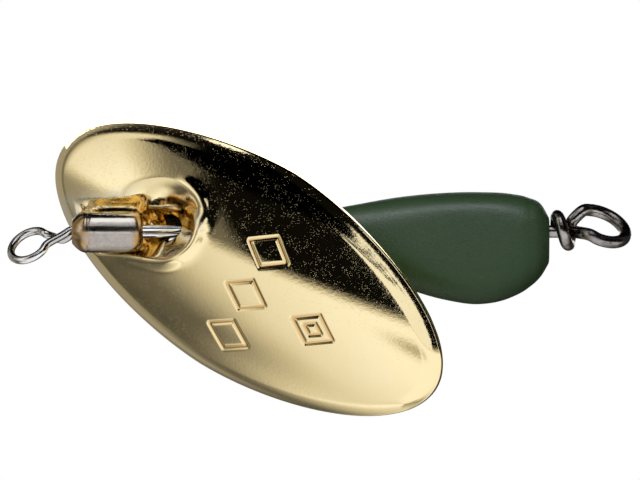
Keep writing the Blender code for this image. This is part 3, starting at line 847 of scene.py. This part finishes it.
def wire_material(name, steel, roughness, pits):
    """Drawn wire, smudged between the two tones of its steel, with pits from 0 to 1 deep."""
    made, g, shader = new_material(name, 1.0)
    smudge = g.step(g.noise(700, 5, 0.6), 0.35, 0.68)
    tone = g.mix(smudge, *steel)
    pit = g.step(g.noise(4200, 3, 0.7), 0.60, 0.68)
    tone = g.mix(g.times(pit, pits), tone, STEEL_PIT)
    g.put(shader.inputs["Base Color"], tone)
    drawn = g.noise(1400, 4, 0.6, stretch=(0.12, 1.0, 1.0))
    g.put(shader.inputs["Roughness"], g.step(drawn, 0.3, 0.75, *roughness))
    g.put(shader.inputs["Normal"], g.bump(g.noise(3600, 4, 0.65), 0.000004 + 0.000008 * pits))
    return made


def paint_material():
    """Matt green paint with a fine grain and dusty patches."""
    made, g, shader = new_material("green_paint_matt", 0.0, IOR=1.36)
    broad = g.noise(170, 3, 0.5)
    tone = g.mix(broad, *GREEN)
    grain = g.step(g.noise(9000, 2, 0.7), 0.35, 0.75)
    tone = g.mix(g.times(grain, 0.35), tone, GREEN_GRAIN)
    dusty = g.step(g.noise(2300, 5, 0.7), 0.60, 0.78)
    tone = g.mix(g.times(dusty, 0.22), tone, GREEN_DUST)
    g.put(shader.inputs["Base Color"], tone)
    g.put(shader.inputs["Roughness"], g.step(g.noise(3000, 3, 0.6), 0.3, 0.8, 0.42, 0.54))
    orange = g.bump(g.noise(1100, 3, 0.5), 0.000010)
    g.put(shader.inputs["Normal"], g.bump(g.noise(7000, 3, 0.65), 0.000022, 1.0, orange))
    return made


def brass_material():
    """Spotted brass."""
    made, g, shader = new_material("brass_bead", 1.0)
    spots = g.step(g.noise(1600, 4, 0.6), 0.45, 0.65)
    g.put(shader.inputs["Base Color"], g.mix(spots, *BRASS))
    g.put(shader.inputs["Roughness"], g.step(g.noise(2600, 3, 0.6), 0.3, 0.8, 0.14, 0.32))
    g.put(shader.inputs["Normal"], g.bump(g.noise(3500, 3, 0.6), 0.000005))
    return made


# ---------------------------------------------------------------- light, floor and camera

LURE_MIDDLE_X = 0.018
MATT_EL = math.radians(42)  # where the light for matt surfaces comes from
MATT_LEAN = -0.30  # and how far it leans to the right; below 0 is to the left
FLOOR_Z = -30 * MM
FLOOR_RADIUS = 0.7
PANEL_DISTANCE = 2.0
VIEW_WIDTH = 40.51 * MM
VIEW_AIM = (18.42 * MM, 0.32 * MM)
VIEW_DISTANCE = 0.8
WHITE = (1.0, 1.0, 1.0)
WARM_LIGHT = (1.0, 0.985, 0.93)
COOL_LIGHT = (1.0, 1.04, 1.14)


class Sky(Graph):
    """The world's light by direction: an azimuth from -Y towards +X and an elevation, both in degrees."""

    def __init__(self, tree):
        super().__init__(tree)
        generated = self.node("ShaderNodeTexCoord").outputs["Generated"]
        split = self.node("ShaderNodeSeparateXYZ", {"Vector": generated}).outputs
        to_deg = 180 / math.pi
        self.right, self.up = split["X"], split["Z"]
        self.towards = self.times(split["Y"], -1.0)
        self.az = self.times(self.math("ARCTAN2", self.right, self.towards), to_deg)
        self.el = self.times(self.math("ARCSINE", self.up), to_deg)

    def blend(self, a, b, share):
        """a where the share is 0, and b where it is 1."""
        return self.add(self.times(a, self.add(1.0, self.times(share, -1.0))), self.times(b, share))

    def band(self, value, start, end, soft):
        """1 from start to end and 0 outside, softly."""
        rise = self.step(value, start - soft / 2, start + soft / 2)
        return self.times(rise, self.step(value, end + soft / 2, end - soft / 2))

    def squared_gap(self, value, middle, width):
        """The square of the distance from middle to value, counted in widths."""
        return self.math("POWER", self.times(self.add(value, -middle), 1 / width), 2.0)

    def spot(self, at_az, at_el, wide, tall):
        """A round spot, 1 in its middle."""
        away = self.add(self.squared_gap(self.az, at_az, wide), self.squared_gap(self.el, at_el, tall))
        return self.math("EXPONENT", self.times(away, -1.0))

    def table(self):
        """A bright table, dim at the left down to a low elevation, with two dark spots near the front."""
        left = self.step(self.el, -38.0, -60.0, 0.13, 0.98)
        left = self.add(left, self.step(self.el, -58.0, -84.0, 0.0, 0.26))
        left = self.add(left, self.times(self.band(self.el, -20.0, 6.0, 8.0), 0.16))
        right = self.step(self.az, -56.0, -8.0, 0.84, 1.10)
        right = self.times(right, self.step(self.az, 110.0, 55.0, 0.16, 1.0))
        right = self.add(right, self.times(self.spot(-9.0, -15.0, 4.0, 4.0), -0.60))
        right = self.add(right, self.times(self.spot(10.0, -13.0, 12.0, 4.0), -0.35))
        return self.blend(right, left, self.step(self.az, -44.0, -84.0))

    def left_box(self):
        """A soft box at the left, its top lower towards the far left, with a faint slanting stripe."""
        edge = self.step(self.az, -40.0, -57.0, 0.18, 1.0)
        edge = self.add(edge, self.step(self.az, -33.0, -38.0, -0.18, 0.0))
        box = self.times(self.step(self.az, -100.0, -66.0, 0.34, 0.86), edge)
        past = self.math("MAXIMUM", self.add(-60.0, self.times(self.az, -1.0)), 0.0)
        top = self.add(72.0, self.times(past, -0.62))
        box = self.times(box, self.step(self.add(self.el, self.times(top, -1.0)), 2.0, -14.0))
        slant = self.add(self.el, self.times(self.add(self.az, 62.0), -0.95))
        stripe = self.math("EXPONENT", self.times(self.squared_gap(slant, 5.0, 9.0), -1.0))
        stripe = self.times(self.times(stripe, self.band(self.az, -78.0, -52.0, 12.0)), 0.22)
        return self.add(box, stripe)

    def far_side(self):
        """A backdrop with a soft box above it, a dim glow at the left and light from below."""
        behind = self.times(self.band(self.el, -4.0, 22.0, 8.0), 1.5)
        behind = self.add(behind, self.times(self.band(self.el, 34.0, 74.0, 10.0), 0.55))
        behind = self.times(behind, self.step(self.towards, -0.82, -0.96))
        left = self.times(self.band(self.az, -158.0, -104.0, 16.0), self.band(self.el, -40.0, 66.0, 20.0))
        light = self.add(self.add(behind, self.times(left, 0.30)), 0.05)
        return self.add(light, self.step(self.el, -40.0, -75.0, 0.0, 0.75))

    def matt_light(self):
        """The light that matt surfaces get, from the front and above."""
        facing = self.add(self.times(self.towards, math.cos(MATT_EL)), self.times(self.up, math.sin(MATT_EL)))
        facing = self.add(facing, self.times(self.right, MATT_LEAN))
        focused = self.math("POWER", self.math("MAXIMUM", facing, 0.0), 3.0)
        return self.add(self.times(focused, 1.7), 0.16)


def studio():
    """The world: white to the camera, the sky to whatever mirrors it, a soft light to matt surfaces."""
    world = bpy.data.worlds.new("studio")
    bpy.context.scene.world = world
    world.use_nodes = True
    world.node_tree.nodes.clear()
    sky = Sky(world.node_tree)
    front = sky.blend(sky.left_box(), sky.table(), sky.step(sky.el, 3.0, -5.0))
    mirrored = sky.blend(front, sky.far_side(), sky.step(sky.towards, 0.10, -0.30))
    mirrored = sky.add(mirrored, 0.004)
    path = sky.node("ShaderNodeLightPath").outputs
    light = sky.blend(mirrored, sky.matt_light(), path["Is Diffuse Ray"])
    tint = sky.mix(sky.step(light, 0.65, 1.05), WARM_LIGHT, COOL_LIGHT)
    pattern = sky.node("ShaderNodeBackground", {"Color": tint, "Strength": light}).outputs[0]
    plain = sky.node("ShaderNodeBackground", {"Color": WHITE, "Strength": 1.0}).outputs[0]
    shown = sky.node("ShaderNodeMixShader", {0: path["Is Camera Ray"], 1: pattern, 2: plain}).outputs[0]
    sky.node("ShaderNodeOutputWorld", {"Surface": shown})


def floor():
    """A plain pale floor below the lure."""
    sides = 96
    points = [(LURE_MIDDLE_X, 0.0, FLOOR_Z)]
    for k in range(sides):
        turn = 2 * math.pi * k / sides
        x = LURE_MIDDLE_X + FLOOR_RADIUS * math.cos(turn)
        points.append((x, FLOOR_RADIUS * math.sin(turn), FLOOR_Z))
    faces = [(0, k + 1, (k + 1) % sides + 1) for k in range(sides)]
    mesh = bpy.data.meshes.new("floor")
    mesh.from_pydata(points, [], faces)
    made, _, shader = new_material("pale_floor", 0.0, Roughness=0.9, Emission_Strength=0.62)
    shader.inputs["Base Color"].default_value = (0.5, 0.5, 0.5, 1.0)
    shader.inputs["Emission Color"].default_value = (*WHITE, 1.0)
    mesh.materials.append(made)
    obj = bpy.data.objects.new("floor", mesh)
    bpy.context.scene.collection.objects.link(obj)
    obj.visible_glossy = False
    obj.visible_diffuse = False


def panel_mesh(name, azimuths, low, tops):
    """A patch of a sphere round the lure, between two azimuths and from the elevation low up to tops."""
    columns, rows = 12, 10
    points, faces = [], []
    for column in range(columns + 1):
        az = math.radians(np.interp(column, (0, columns), azimuths))
        top = np.interp(column, (0, columns), tops)
        for row in range(rows + 1):
            el = math.radians(low + (top - low) * row / rows)
            flat = PANEL_DISTANCE * math.cos(el)
            x = LURE_MIDDLE_X + flat * math.sin(az)
            points.append((x, -flat * math.cos(az), PANEL_DISTANCE * math.sin(el)))
    for column in range(columns):
        for row in range(rows):
            at = column * (rows + 1) + row
            faces.append((at, at + 1, at + rows + 2, at + rows + 1))
    mesh = bpy.data.meshes.new(name)
    mesh.from_pydata(points, [], faces)
    return mesh


def light_panel(name, azimuths, low, tops, strength, receivers):
    """A glowing panel far from the lure that only the receivers mirror. For the rest it is dark."""
    mesh = panel_mesh(name, azimuths, low, tops)
    made = bpy.data.materials.new(name)
    made.use_nodes = True
    made.node_tree.nodes.clear()
    g = Graph(made.node_tree)
    glow = g.node("ShaderNodeEmission", {"Color": COOL_LIGHT, "Strength": strength}).outputs[0]
    g.node("ShaderNodeOutputMaterial", {"Surface": glow})
    mesh.materials.append(made)
    obj = bpy.data.objects.new(name, mesh)
    bpy.context.scene.collection.objects.link(obj)
    obj.visible_camera = False
    obj.visible_diffuse = False
    obj.visible_shadow = False
    group = bpy.data.collections.new(name + "_receivers")
    for receiver in receivers:
        group.objects.link(receiver)
    obj.light_linking.receiver_collection = group


def camera():
    """Looks along +Y, square on to the shaft."""
    data = bpy.data.cameras.new("camera")
    data.sensor_width = 36.0
    data.lens = data.sensor_width * VIEW_DISTANCE / VIEW_WIDTH
    data.clip_start = 0.01
    data.clip_end = 20.0
    obj = bpy.data.objects.new("camera", data)
    bpy.context.scene.collection.objects.link(obj)
    obj.location = (VIEW_AIM[0], -VIEW_DISTANCE, VIEW_AIM[1])
    obj.rotation_euler = (math.radians(90), 0, 0)
    bpy.context.scene.camera = obj


camera()
studio()
floor()
bpy.context.scene.view_settings.view_transform = "Standard"
bpy.context.scene.view_settings.look = "None"

spoon = blade(gold_material())
line_wire = shaft_wire(wire_material("bright_wire_drawn", BRIGHT_STEEL, (0.09, 0.20), 0.35))
tail_wire = hook_wire(wire_material("dull_wire_pitted", DULL_STEEL, (0.14, 0.32), 0.8))
barrel = bearing_barrel(nickel_material())
bead = thrust_bead(brass_material())
weight = body_weight(paint_material())
braze = braze_fillet(braze_material())
light_panel("right_panel", (-3, 45), -2, (35, 57), 1.0, [spoon, bead, braze])
light_panel("upper_panel", (-30, 30), 31, (78, 78), 1.2, [barrel, line_wire, tail_wire, braze])
light_panel("sheen_panel", (-50, 40), 32, (54, 54), 10.0, [weight])
light_panel("zenith_panel", (-70, 60), 85, (89, 89), 1.8, [spoon, braze])
light_panel("back_panel", (120, 240), 22, (88, 88), 3.0, [spoon, braze])
